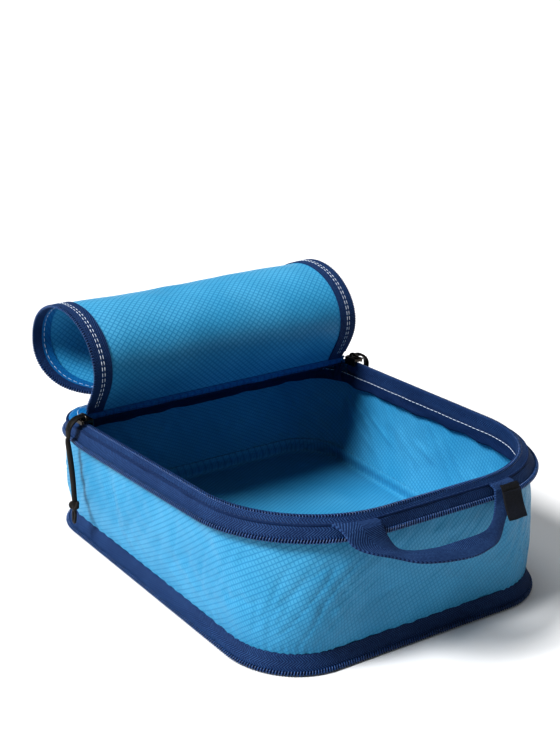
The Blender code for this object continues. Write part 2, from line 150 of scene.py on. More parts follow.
WHOLE = (("rl", 90), ("rl", 180), ("fl", 180), ("fl", 270), ("fr", 270), ("fr", 360), ("rr", 0), ("rr", 90))
OPEN = (("el", 0), ("fl", 180), ("fl", 270), ("fr", 270), ("fr", 360), ("er", 0))


def outline_at(ring, place):
    """A point of the outline at this share of the way between two of its knots."""
    (a, from_angle), (b, to_angle), share = place
    if a == b:
        return corner(ring, a, from_angle + (to_angle - from_angle) * share)
    return corner(ring, a, from_angle).lerp(corner(ring, b, to_angle), share)


def places_on(knots, step, closed):
    """Evenly spaced places along an outline, with the distance of each from the start."""
    ends = [*knots, knots[0]] if closed else list(knots)
    places, along, done = [], [], 0.0
    for a, b in zip(ends, ends[1:]):
        fine = [outline_at(SEAM, (a, b, i / 40)) for i in range(41)]
        length = sum((q - p).length for p, q in zip(fine, fine[1:]))
        count = max(1, round(length / step))
        for i in range(count):
            places.append((a, b, i / count))
            along.append(done + length * i / count)
        done += length
    along.append(done)
    if not closed:
        places.append((ends[-2], ends[-1], 1.0))
    return places, along


def ring_line(ring, places, fall=1.0):
    """The outline as points in space."""
    return [fallen(*outline_at(ring, place), ring.z, fall) for place in places]


def looped(line, closed):
    """The line with its first point again at the end where it is closed."""
    return [*line, line[0]] if closed else line


def distances(line, closed=False):
    """How far along a line each point lies, and where it is closed its whole length as well."""
    done = [0.0]
    points = looped(line, closed)
    for a, b in zip(points, points[1:]):
        done.append(done[-1] + (b - a).length)
    return done


def walked(lengths, wheres):
    """For each of these growing distances, the stretch of the line that holds it and the share of it."""
    i = 0
    for where in wheres:
        while i < len(lengths) - 2 and lengths[i + 1] < where:
            i += 1
        yield i, (where - lengths[i]) / max(lengths[i + 1] - lengths[i], 1e-9)


def ways_along(line, closed):
    """From the point before to the point after each point of a line."""
    count = len(line)
    for i in range(count):
        before = line[i - 1] if closed or i else line[0]
        after = line[(i + 1) % count] if closed or i < count - 1 else line[-1]
        yield after - before


def outward(line, closed):
    """The level outward direction at each point of a line that runs round the bag."""
    return [Vector((along.y, -along.x, 0)).normalized() for along in ways_along(line, closed)]


def smooth_through(points, count):
    """This many points on a smooth curve through a few."""
    points = [Vector(point) for point in points]
    padded = [2 * points[0] - points[1], *points, 2 * points[-1] - points[-2]]
    made = []
    for step in range(count):
        where = step * (len(points) - 1) / (count - 1)
        i = min(int(where), len(points) - 2)
        t = where - i
        a, b, c, d = padded[i : i + 4]
        square = (2 * a - 5 * b + 4 * c - d) * t**2
        cube = (3 * b - a - 3 * c + d) * t**3
        made.append((2 * b + (c - a) * t + square + cube) / 2)
    return made


# Meshes ---------------------------------------------------------------------------------------
class Sheet:
    """Gathers faces with their places on the cloth, in metres, and the material of each."""

    def __init__(self):
        self.points, self.faces, self.places, self.slots = [], [], [], []

    def add(self, face, places, slot=0):
        """Adds one face."""
        self.faces.append(face)
        self.places.append(places)
        self.slots.append(slot)

    def grid(self, rows, us, vs, closed=False):
        """Rows of points; us has one more value than a row has points where the rows are closed."""
        base, wide = len(self.points), len(rows[0])
        for row in rows:
            self.points.extend(row)
        for j in range(len(rows) - 1):
            for i in range(wide if closed else wide - 1):
                k = (i + 1) % wide
                a, b = base + j * wide, base + (j + 1) * wide
                u, up, v, vp = us[i], us[i + 1], vs[j], vs[j + 1]
                self.add((a + i, a + k, b + k, b + i), ((u, v), (up, v), (up, vp), (u, vp)))

    def tube(self, line, radius, sides=6, slot=0, closed=False, squeeze=1.0, start_up=None):
        """A tube along a line, with round caps unless it is closed. Radius may vary along it."""
        count = len(line)
        radii = radius if isinstance(radius, (list, tuple)) else [radius] * count
        tangents = [along.normalized() for along in ways_along(line, closed)]
        up = start_up or Vector((0.3, 0.2, 1.0))
        base = len(self.points)
        lengths = distances(line)
        lengths.append(lengths[-1])
        for point, along, size in zip(line, tangents, radii):
            side = along.cross(up)
            if side.length < 1e-6:
                side = along.orthogonal()
            side.normalize()
            up = side.cross(along).normalized()
            for k in range(sides):
                turn = 2 * math.pi * k / sides
                high = up * size * squeeze * math.sin(turn)
                self.points.append(point + side * size * math.cos(turn) + high)
        for i in range(count if closed else count - 1):
            a, b = base + i * sides, base + (i + 1) % count * sides
            u, v = lengths[i], lengths[i + 1]
            w = 2 * math.pi * radii[i] / sides
            for k in range(sides):
                m = (k + 1) % sides
                places = ((u, w * k), (u, w * k + w), (v, w * k + w), (v, w * k))
                self.add((a + k, a + m, b + m, b + k), places, slot)
        if not closed:
            for start, way in ((base, -1), (base + (count - 1) * sides, 1)):
                cap = tuple(start + k for k in range(sides))
                self.add(cap[::way], ((0.0, 0.0),) * sides, slot)

    def build(self, name, materials, smooth=True):
        """Makes the object."""
        mesh = bpy.data.meshes.new(name)
        mesh.from_pydata([tuple(p) for p in self.points], [], self.faces)
        layer = mesh.uv_layers.new(name="weave")
        layer.data.foreach_set("uv", [value for face in self.places for place in face for value in place])
        for material in materials:
            mesh.materials.append(material)
        mesh.polygons.foreach_set("material_index", self.slots)
        mesh.polygons.foreach_set("use_smooth", [smooth] * len(self.faces))
        mesh.update()
        made = bpy.data.objects.new(name.replace(" ", "_"), mesh)
        bpy.context.scene.collection.objects.link(made)
        return made


def thicken(piece, thick, offset=-1.0):
    """Gives a sheet its thickness."""
    shell = piece.modifiers.new("cloth thickness", "SOLIDIFY")
    shell.thickness = thick
    shell.offset = offset
    shell.use_even_offset = False
    return piece


def split_edges(piece):
    """Keeps the shading of a cloth's face apart from that of its cut edge."""
    split = piece.modifiers.new("cut edges", "EDGE_SPLIT")
    split.split_angle = math.radians(50)
    return piece


def soften(piece, width, segments=2):
    """Rounds the sharp edges."""
    edges = piece.modifiers.new("soft edges", "BEVEL")
    edges.width = width
    edges.segments = segments
    edges.limit_method = "ANGLE"
    return piece


def cloth(name, rows, us, vs, material, thick, offset=-1.0, closed=False, from_above=False):
    """A piece made of one sheet of cloth; from_above lays its weave out in plan."""
    sheet = Sheet()
    sheet.grid(rows, us, vs, closed)
    if from_above:
        sheet.places = [tuple(tuple(sheet.points[k].xy) for k in face) for face in sheet.faces]
    return thicken(sheet.build(name, [material]), thick, offset)


def finish_piece(piece, body, slot, *nodes, squash=None, squash_axis=(0, 0, 1)):
    """Sets the body that a piece rides and hides the CAD nodes it stands for; slot and squash_axis are not
    used, and squash only gives the piece its own mesh.
    """
    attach(piece, body)
    if squash:
        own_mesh(piece)
    if nodes:
        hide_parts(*nodes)
    return piece


# Materials ------------------------------------------------------------------------------------
class Shader:
    """A Principled material with short calls for the nodes that shape it."""

    def __init__(self, name, colour, roughness, **sockets):
        self.material = bpy.data.materials.new(name)
        self.material.use_nodes = True
        self.nodes = self.material.node_tree.nodes
        self.links = self.material.node_tree.links
        self.shader = self.nodes["Principled BSDF"]
        self.shader.inputs["Base Color"].default_value = (*colour, 1)
        self.shader.inputs["Roughness"].default_value = roughness
        for key, value in sockets.items():
            self.shader.inputs[key.replace("_", " ")].default_value = value
        where = self.nodes.new("ShaderNodeUVMap")
        where.uv_map = "weave"
        self.cloth = where.outputs["UV"]
        self.object = self.nodes.new("ShaderNodeTexCoord").outputs["Object"]

    def put(self, socket, value):
        """Links a socket, or sets a plain value."""
        if isinstance(value, bpy.types.NodeSocket):
            self.links.new(value, socket)
        elif value is not None:
            socket.default_value = value

    def math(self, kind, a, b=None):
        node = self.nodes.new("ShaderNodeMath")
        node.operation = kind
        for socket, value in zip(node.inputs, (a, b)):
            self.put(socket, value)
        return node.outputs[0]

    def axes(self, vector):
        node = self.nodes.new("ShaderNodeSeparateXYZ")
        self.links.new(vector, node.inputs[0])
        return node.outputs[0], node.outputs[1], node.outputs[2]

    def noise(self, scale, detail=3.0):
        node = self.nodes.new("ShaderNodeTexNoise")
        node.inputs["Scale"].default_value = scale
        node.inputs["Detail"].default_value = detail
        self.links.new(self.object, node.inputs["Vector"])
        return node.outputs["Fac"]

    def ramp(self, value, low, high, to_low=0.0, to_high=1.0):
        """Maps low to high onto two values, smoothly."""
        node = self.nodes.new("ShaderNodeMapRange")
        node.interpolation_type = "SMOOTHSTEP"
        for socket, given in zip(node.inputs, (value, low, high, to_low, to_high)):
            self.put(socket, given)
        return node.outputs[0]

    def blend(self, share, a, b):
        """A colour at this share between two."""
        node = self.nodes.new("ShaderNodeMix")
        node.data_type = "RGBA"
        self.put(node.inputs["Factor"], share)
        for socket, colour in ((node.inputs["A"], a), (node.inputs["B"], b)):
            self.put(socket, (*colour, 1) if isinstance(colour, tuple) else colour)
        return node.outputs["Result"]

    def lines(self, across, pitch, width):
        """1 on thin lines that repeat every pitch, 0 between them."""
        away = self.math("PINGPONG", self.math("DIVIDE", across, pitch), 0.5)
        return self.ramp(away, 0.0, width / pitch, 1.0, 0.0)

    def colour(self, value):
        self.put(self.shader.inputs["Base Color"], value)

    def roughness(self, value):
        self.put(self.shader.inputs["Roughness"], value)

    def bump(self, height, distance, strength=1.0):
        node = self.nodes.new("ShaderNodeBump")
        node.inputs["Strength"].default_value = strength
        node.inputs["Distance"].default_value = distance
        self.links.new(height, node.inputs["Height"])
        self.links.new(node.outputs[0], self.shader.inputs["Normal"])


def ripstop(name, colour, line, light, rise=28, fall=56, pitches=(0.00215, 0.00165), weights=(0.95, 0.75)):
    """Thin nylon with a slanting grid of heavier threads, which rise and fall at these angles."""
    weave = 15000.0
    s = Shader(name, colour, 0.40, Sheen_Weight=0.06, Sheen_Roughness=0.45, Specular_IOR_Level=0.22)
    s.shader.inputs["Sheen Tint"].default_value = (0.55, 0.82, 1.0, 1)
    u, v, _ = s.axes(s.cloth)
    grids = []
    for degrees, pitch, weight in zip((rise, -fall), pitches, weights):
        turn = math.radians(degrees)
        rising, level = s.math("MULTIPLY", v, math.cos(turn)), s.math("MULTIPLY", u, math.sin(turn))
        slope = s.math("SUBTRACT", rising, level)
        grids.append(s.math("MULTIPLY", s.lines(slope, pitch, pitch * 0.23), weight))
    grid = s.math("MAXIMUM", *grids)
    patch = s.noise(22.0, 4.0)
    base = s.blend(s.ramp(patch, 0.30, 0.70), tuple(c * 0.93 for c in colour), light)
    s.colour(s.blend(grid, base, line))
    fine = s.math("MULTIPLY", *(s.math("SINE", s.math("MULTIPLY", axis, weave)) for axis in (u, v)))
    height = s.math("ADD", grid, s.math("MULTIPLY", fine, 0.12))
    s.bump(s.math("ADD", height, s.math("MULTIPLY", s.noise(260.0, 2.0), 0.5)), 0.00009, 0.75)
    s.roughness(s.ramp(grid, 0.0, 1.0, 0.40, 0.56))
    return s.material


def twill(name, dark, pale, pitch, column, contrast=0.75, rough=0.72):
    """Woven tape: slanting ribs that turn back at each column, as herringbone."""
    s = Shader(name, dark, rough, Sheen_Weight=0.05, Sheen_Roughness=0.5, Specular_IOR_Level=0.16)
    s.shader.inputs["Sheen Tint"].default_value = (0.20, 0.40, 1.0, 1)
    u, v, _ = s.axes(s.cloth)
    turned = s.math("PINGPONG", v, column)
    slant = s.math("ADD", u, s.math("MULTIPLY", turned, 1.15))
    rib = s.lines(slant, pitch, pitch * 0.50)
    fleck = s.ramp(s.noise(900.0, 2.0), 0.35, 0.65, 0.6, 1.0)
    patch = s.ramp(s.noise(60.0, 3.0), 0.35, 0.65, 0.75, 1.0)
    share = s.math("MULTIPLY", s.math("MULTIPLY", rib, fleck), s.math("MULTIPLY", patch, contrast))
    s.colour(s.blend(share, dark, pale))
    yarn = s.math("SINE", s.math("MULTIPLY", v, 2 * math.pi / 0.00045))
    s.bump(s.math("ADD", rib, s.math("MULTIPLY", yarn, 0.2)), 0.00016, 0.8)
    return s.material


def plain(name, colour, roughness, grain, depth, light=1.35, **sockets):
    """One colour, mottled at this grain, with a fine unevenness of this depth."""
    s = Shader(name, colour, roughness, **sockets)
    patch = s.noise(grain, 4.0)
    dim, lit = tuple(c * 0.8 for c in colour), tuple(min(c * light, 1) for c in colour)
    s.colour(s.blend(s.ramp(patch, 0.35, 0.65), dim, lit))
    s.roughness(s.ramp(s.noise(grain * 0.6, 3.0), 0.3, 0.7, roughness - 0.08, roughness + 0.08))
    s.bump(s.noise(grain * 2.5, 3.0), depth, 0.6)
    return s.material


def braid(name, dark, pale):
    """Cord braided from strands that cross both ways."""
    s = Shader(name, dark, 0.7, Sheen_Weight=0.05, Specular_IOR_Level=0.25)
    u, v, _ = s.axes(s.cloth)
    left = s.lines(s.math("ADD", u, v), 0.0009, 0.00036)
    right = s.lines(s.math("SUBTRACT", u, v), 0.0009, 0.00036)
    weave = s.math("MAXIMUM", left, right)
    s.colour(s.blend(s.math("MULTIPLY", weave, 0.7), dark, pale))
    s.bump(weave, 0.00018, 0.8)
    return s.material


SKY = (0.036, 0.265, 0.470)
CLOTH = ripstop("ripstop_blue", SKY, (0.003, 0.135, 0.300), (0.060, 0.305, 0.510),
                26, 58, (0.00195, 0.00165), (0.62, 0.52))
CLOTH_LID = ripstop("ripstop_blue_lid", (0.046, 0.320, 0.555), (0.005, 0.165, 0.360), (0.080, 0.370, 0.600),
                    42, 42, (0.0024, 0.0024), (0.7, 0.7))
CLOTH_DOUBLE = ripstop("ripstop_folded", (0.006, 0.135, 0.340), (0.003, 0.085, 0.250), (0.008, 0.155, 0.380))
TAPE = twill("navy_twill_tape", (0.0003, 0.0075, 0.045), (0.030, 0.085, 0.215), 0.00140, 0.0026, 0.9)
TAPE_FLAT = twill("navy_binding_tape", (0.0004, 0.0085, 0.046), (0.012, 0.045, 0.130), 0.00110, 0.0500)
WEBBING = twill("navy_herringbone_webbing", (0.0003, 0.008, 0.047), (0.040, 0.100, 0.240),
                0.00165, 0.0105, 0.95)
COIL = plain("navy_nylon_coil", (0.016, 0.055, 0.165), 0.34, 700.0, 0.00003, Specular_IOR_Level=0.5)
COIL_CORE = plain("navy_coil_core", (0.0004, 0.005, 0.026), 0.75, 700.0, 0.00003, Specular_IOR_Level=0.1)
THREAD = plain("white_thread", (0.62, 0.68, 0.76), 0.6, 1500.0, 0.00004, light=1.2)
NAVY_THREAD = plain("navy_thread", (0.010, 0.035, 0.110), 0.55, 1500.0, 0.00004)
METAL = plain("black_lacquered_metal", (0.050, 0.042, 0.036), 0.24, 420.0, 0.00003, Metallic=1.0)
RUBBER = plain("black_moulded_rubber", (0.0050, 0.0042, 0.0040), 0.55, 800.0, 0.00004,
               Specular_IOR_Level=0.15)
CORD = braid("black_braided_cord", (0.0030, 0.0022, 0.0018), (0.020, 0.015, 0.012))
LABEL = twill("black_woven_label", (0.0065, 0.0065, 0.007), (0.028, 0.028, 0.030), 0.00045, 0.02, 0.8)


# Camera, floor and light ----------------------------------------------------------------------
def make_camera():
    """The photograph's camera, as it was fitted to the base and the rim."""
    yaw, pitch, roll = 0.64279, 0.39350, 0.05207
    forward = Vector((math.sin(yaw) * math.cos(pitch), math.cos(yaw) * math.cos(pitch), -math.sin(pitch)))
    level = Vector((math.cos(yaw), -math.sin(yaw), 0))
    above = level.cross(forward)
    right = level * math.cos(roll) + above * math.sin(roll)
    up = above * math.cos(roll) - level * math.sin(roll)
    data = bpy.data.cameras.new("camera")
    data.sensor_width = 36
    data.lens = 78.49
    data.shift_x = 0.0127
    data.shift_y = 0.0217
    data.clip_start = 0.01
    camera = bpy.data.objects.new("camera", data)
    bpy.context.scene.collection.objects.link(camera)
    turn = Matrix((right, up, -forward)).transposed().to_4x4()
    camera.matrix_world = Matrix.Translation((-0.46503, -0.59083, 0.40144)) @ turn
    bpy.context.scene.camera = camera


def area_light(name, place, target, size, power):
    """A round, soft light."""
    data = bpy.data.lights.new(name, "AREA")
    data.shape = "DISK"
    data.size = size
    data.energy = power
    lamp = bpy.data.objects.new(name, data)
    bpy.context.scene.collection.objects.link(lamp)
    lamp.location = place
    lamp.rotation_euler = (Vector(target) - Vector(place)).to_track_quat("-Z", "Y").to_euler()


def make_stage():
    """A pale floor, a soft sky, one main light and two fills."""
    reach = 12.0
    sides = (-reach, reach)
    floor = Sheet()
    floor.grid([[Vector((x, y, 0)) for x in sides] for y in sides], sides, sides)
    paper = Shader("pale_floor", (0.84, 0.84, 0.84), 0.95, Specular_IOR_Level=0.0)
    floor.build("floor", [paper.material])
    world = bpy.data.worlds.new("studio")
    bpy.context.scene.world = world
    world.use_nodes = True
    world.node_tree.nodes["Background"].inputs[0].default_value = (0.97, 0.985, 1.0, 1)
    world.node_tree.nodes["Background"].inputs[1].default_value = 0.16
    sun = bpy.data.lights.new("key", "SUN")
    sun.energy = 4.2
    sun.angle = 0.35
    lamp = bpy.data.objects.new("key", sun)
    bpy.context.scene.collection.objects.link(lamp)
    lamp.rotation_euler = Vector((-0.70, 0.12, 0.72)).to_track_quat("Z", "Y").to_euler()
    area_light("left", (-1.0, 0.0, 0.16), (0, 0.02, 0.06), 0.5, 0.9)
    area_light("top", (0.1, 0.5, 1.7), (0, 0, 0), 1.2, 7.0)


make_camera()
bpy.context.scene.view_settings.view_transform = "Standard"
bpy.context.scene.view_settings.look = "Medium High Contrast"


def side_of(sign):
    """The name of the side that lies this way along X."""
    return "left" if sign < 0 else "right"


def make_cord(sign):
    """The pull's cord, hanging outside the bag, with its knot and the melted ends below it."""
    side = side_of(sign)
    body, flat = f"zip_pull_{side}", ((0, 0, CORD_ROUTE[0][1]), 0.25)
    count = 60
    line = smooth_through([(0, y, z) for y, z in CORD_ROUTE], count)
    for i, p in enumerate(line):
        p.x = sign * (CORD_X - 0.0007 * math.sin(math.pi * i / (count - 1)) ** 2)
    line[0].x = sign * CORD_X
    swell = [1.0 + 0.16 * math.sin(min(1.0, i / 45) * math.pi - 0.5) for i in range(count)]
    cord = Sheet()
    cord.tube(line, [CORD_DIAMETER / 2 * k for k in swell], sides=12)
    cord = finish_piece(cord.build(f"braided cord {side}", [CORD]), body, "black_cord",
                        f"pull_cord_{side}", squash=flat)
    foot = line[-1]
    knot = Sheet()
    trefoil = []
    for i in range(84):
        t = 2 * math.pi * i / 84
        x, y, z = math.sin(t) + 2 * math.sin(2 * t), math.cos(t) - 2 * math.cos(2 * t), -math.sin(3 * t)
        trefoil.append(foot + Vector((0.00068 * x, 0.00068 * y, -0.0026 + 0.0016 * z)))
    knot.tube(trefoil, 0.00100, sides=8, closed=True)
    core = [foot + Vector((0, 0, 0.0004 - 0.0056 * i / 8)) for i in range(9)]
    knot.tube(core, [0.0009, 0.0012, 0.0017, 0.0020, 0.0021, 0.0019, 0.0015, 0.0011, 0.0008], sides=10)
    tail = smooth_through([(0, 0, -0.0045), (0.0002, 0.0014, -0.0064), (0.0003, 0.0020, -0.0094),
                           (0.0001, 0.0012, -0.0122), (-0.0002, -0.0004, -0.0124),
                           (-0.0003, -0.0012, -0.0100), (0, -0.0008, -0.0068), (0, 0, -0.0046)], 48)
    knot.tube([foot + p for p in tail], 0.00072, sides=8)
    knot = finish_piece(knot.build(f"cord knot {side}", [CORD]), body, "black_cord",
                        f"pull_knot_{side}", squash=flat)


for sign in (-1, 1):
    make_cord(sign)
make_stage()


# Parts shared by several pieces -----------------------------------------------------------------
def stitch(sheet, start, end, up, thread=0.00019, slot=0):
    """One stitch: a short thread that dips into the cloth at both ends."""
    line = []
    for share, rise in ((0.0, -0.8), (0.12, 0.35), (0.35, 0.75), (0.65, 0.75), (0.88, 0.35), (1.0, -0.8)):
        line.append(start.lerp(end, share) + up * thread * rise)
    sheet.tube(line, thread, sides=4, slot=slot)


def stitches_along(sheet, line, ups, pitch=0.0027, gap=0.0006, closed=False):
    """Stitches at even steps along a line of points."""
    points, raised = looped(line, closed), looped(ups, closed)
    lengths = distances(points)
    count = max(1, int(lengths[-1] / pitch))
    ends = []
    for k in range(count):
        ends += [k * lengths[-1] / count + gap / 2, (k + 1) * lengths[-1] / count - gap / 2]
    at = [(points[i].lerp(points[i + 1], share), raised[i].lerp(raised[i + 1], share))
          for i, share in walked(lengths, ends)]
    for (start, up), (end, _) in zip(at[::2], at[1::2]):
        stitch(sheet, start, end, up)


def coil_points(line, across, above, ra, rb, closed):
    """The wire of a zip's coil, wound flat along a line."""
    points, sides, ups = looped(line, closed), looped(across, closed), looped(above, closed)
    lengths = distances(points)
    count = max(1, round(lengths[-1] / COIL_PITCH)) * COIL_STEPS
    steps = range(count if closed else count + 1)
    made = []
    for k, (i, share) in zip(steps, walked(lengths, (lengths[-1] * k / count for k in steps))):
        turn = 2 * math.pi * k / COIL_STEPS
        centre = points[i].lerp(points[i + 1], share)
        side, up = sides[i].lerp(sides[i + 1], share), ups[i].lerp(ups[i + 1], share)
        made.append(centre + side * ra * math.cos(turn) + up * rb * math.sin(turn))
    return made


def coil_round(name, ring_in, ring_out, places, closed, body, node, ra, rb, wire, fall=1.0, lift=0.0):
    """A coil that lies between two outlines of the bag."""
    low, high = ring_line(ring_in, places, fall), ring_line(ring_out, places, fall)
    if node == "upper_compression_coil":
        low, high = [tucked(p, 0.8) for p in low], [tucked(p, 1.0) for p in high]
    line = [a.lerp(b, 0.5) for a, b in zip(low, high)]
    across = [(b - a).normalized() for a, b in zip(low, high)]
    above = [(out - side * out.dot(side)).normalized() for side, out in zip(across, outward(line, closed))]
    line = [p + up * lift for p, up in zip(line, above)]
    sheet = Sheet()
    sheet.tube(coil_points(line, across, above, ra, rb, closed), wire, sides=4, closed=closed)
    sheet.tube(line, ra * 0.80, sides=6, slot=1, closed=closed, squeeze=rb / ra, start_up=above[0])
    return finish_piece(sheet.build(name, [COIL, COIL_CORE]), body, "navy_coil", node)


def band_rows(low, high, shares, places, closed, fall, ripple, wave, seed):
    """Rows of a tape that lies between two outlines, a little uneven."""
    rows = []
    for share in shares:
        line = ring_line(mix(low, high, share), places, fall)
        rows.append([p + way * noise.noise(Vector((p.x / wave, p.y / wave, seed + share * 0.6))) * ripple
                     for p, way in zip(line, outward(line, closed))])
    return rows


def tucked(p, share):
    """The skirt lies flatter round the rear corners, where it is drawn in under the lid's hinge."""
    past = min(1.0, max(0.0, (p.y - 0.055) / 0.035))
    draw = 0.0036 * share * past * past * (3 - 2 * past)
    return Vector((p.x - math.copysign(draw, p.x) * min(1.0, abs(p.x) / 0.05), p.y - draw * 0.5, p.z))


def row_heights(rows):
    """How far each row lies from the first, up the left edge of the sheet."""
    return distances([row[0] for row in rows])


def bell(value, centre, width):
    """1 at the centre, and almost nothing beyond twice the width."""
    return math.exp(-(((value - centre) / width) ** 2))


AROUND, AROUND_U = places_on(WHOLE, 0.0018, True)
OPEN_WAY, OPEN_U = places_on(OPEN, 0.0018, False)


# Base and walls ---------------------------------------------------------------------------------
def make_base():
    """The base panel with its hem, in rings that close on its middle."""
    middle = Vector((0, 0, BASE_PANEL.z))
    edge = ring_line(BASE_PANEL, AROUND, 0)
    hem = [Ring(0.0852, -0.0982, 0.0982, 0.0325, 0.0245, 0.0098),
           Ring(0.0866, -0.0996, 0.0996, 0.0335, 0.0250, 0.0050),
           Ring(0.0870, -0.1000, 0.1000, 0.0338, 0.0252, 0.0022)]
    rows = [ring_line(ring, AROUND, 0) for ring in hem]
    for share in [i / 24 for i in range(24)] + [0.985, 0.99995]:
        row = []
        for p in edge:
            q = p.lerp(middle, share)
            soft = noise.noise(Vector((q.x * 28, q.y * 28, 3.0))) * 0.00025 * min(1, share * 6)
            row.append(q + Vector((0, 0, soft - 0.0002)))
        rows.append(row)
    piece = cloth("base panel cloth", rows, AROUND_U, [0.0] * len(rows), CLOTH, 0.0006, 0.0, True, True)
    finish_piece(piece, "base", "ripstop", "base_panel")


def wall_push(p, way, height, along):
    """How far the wall's cloth stands out here: slack, slanting wrinkles, puckers and one crease."""
    middle = math.sin(math.pi * min(max(height, 0), 1)) ** 0.75
    slack = noise.noise(Vector((p.x * 17, p.y * 17, p.z * 20 + 5))) * 0.0021
    slant = noise.noise(Vector((along * 60 + p.z * 55, p.z * 24 - along * 12, 2.0)))
    ridges = (1 - abs(slant) * 2.2) * 0.0006
    fold = noise.noise(Vector((along * 95 - p.z * 70, p.z * 30, 9.0)))
    creases = -max(0.0, 0.16 - abs(fold)) * 0.0046
    edge = min(height, 1 - height)
    pucker = math.sin(along * 2 * math.pi / 0.0062 + 3 * noise.noise(Vector((along * 40, 0, 1))))
    puckers = pucker * 0.00028 * bell(edge, 0, 0.10)
    dent = 0.0
    if way.x < -0.7:
        crease = 0.040 - (0.050 - p.z) * 0.30
        ridge = crease - 0.0085
        dent = -0.0015 * bell(p.y, crease, 0.0042) * bell(p.z, 0.036, 0.022)
        dent += 0.0010 * bell(p.y, ridge, 0.0045) * bell(p.z, 0.036, 0.022)
    if way.y < -0.7:
        dent -= 0.0022 * bell(p.x, -0.030, 0.022) * bell(p.z, 0.030, 0.016)
        dent += 0.0012 * bell(p.x, 0.016, 0.016) * bell(p.z, 0.040, 0.020)
    return (slack + ridges + creases + dent) * middle + puckers


def make_gusset():
    """The wall cloth: its outline swells from the base to halfway up and draws in again to the seam."""
    rows = []
    steps = 46
    for j in range(steps + 1):
        t = j / steps
        a, b, c = (1 - t) * (1 - 2 * t), 4 * t * (1 - t), t * (2 * t - 1)
        ring = Ring(*(a * p + b * q + c * r for p, q, r in zip(GUSSET_FOOT, GUSSET_MIDDLE, GUSSET_TOP)))
        line = ring_line(ring, AROUND, t)
        rows.append([p + way * wall_push(p, way, t, u)
                     for p, way, u in zip(line, outward(line, True), AROUND_U)])
    us = distances(rows[steps // 2], True)
    piece = cloth("gusset cloth", rows, us, row_heights(rows), CLOTH, CLOTH_THICK, closed=True)
    finish_piece(piece, "base", "ripstop", "gusset", squash=((0, 0, 0.0094), 0.105))


def band(name, rows, thick, closed, flip=True):
    """A zip's tape, whose edges are a little round."""
    us, vs = distances(rows[3], closed), row_heights(rows)
    return soften(cloth(name, rows[::-1] if flip else rows, us, vs, TAPE, thick, closed=closed), 0.0001)


def make_lower_tape():
    """The lower half of the compression zip, round the foot of the wall."""
    shares = [i / 6 for i in range(7)]
    rows = band_rows(LOWER_TAPE_TOP, LOWER_TAPE_FOOT, shares, AROUND, True, 0, 0.0005, 0.012, 4.0)
    finish_piece(band("lower tape", rows, TAPE_THICK, True), "base", "navy_tape", "lower_compression_tape")
    lower = grown(BASE_EDGE, -0.0005)._replace(z=0.0021)
    coil_round("lower coil", lower, BASE_EDGE, AROUND, True, "base", "lower_compression_coil",
               0.00105, 0.00052, 0.00036, 0)


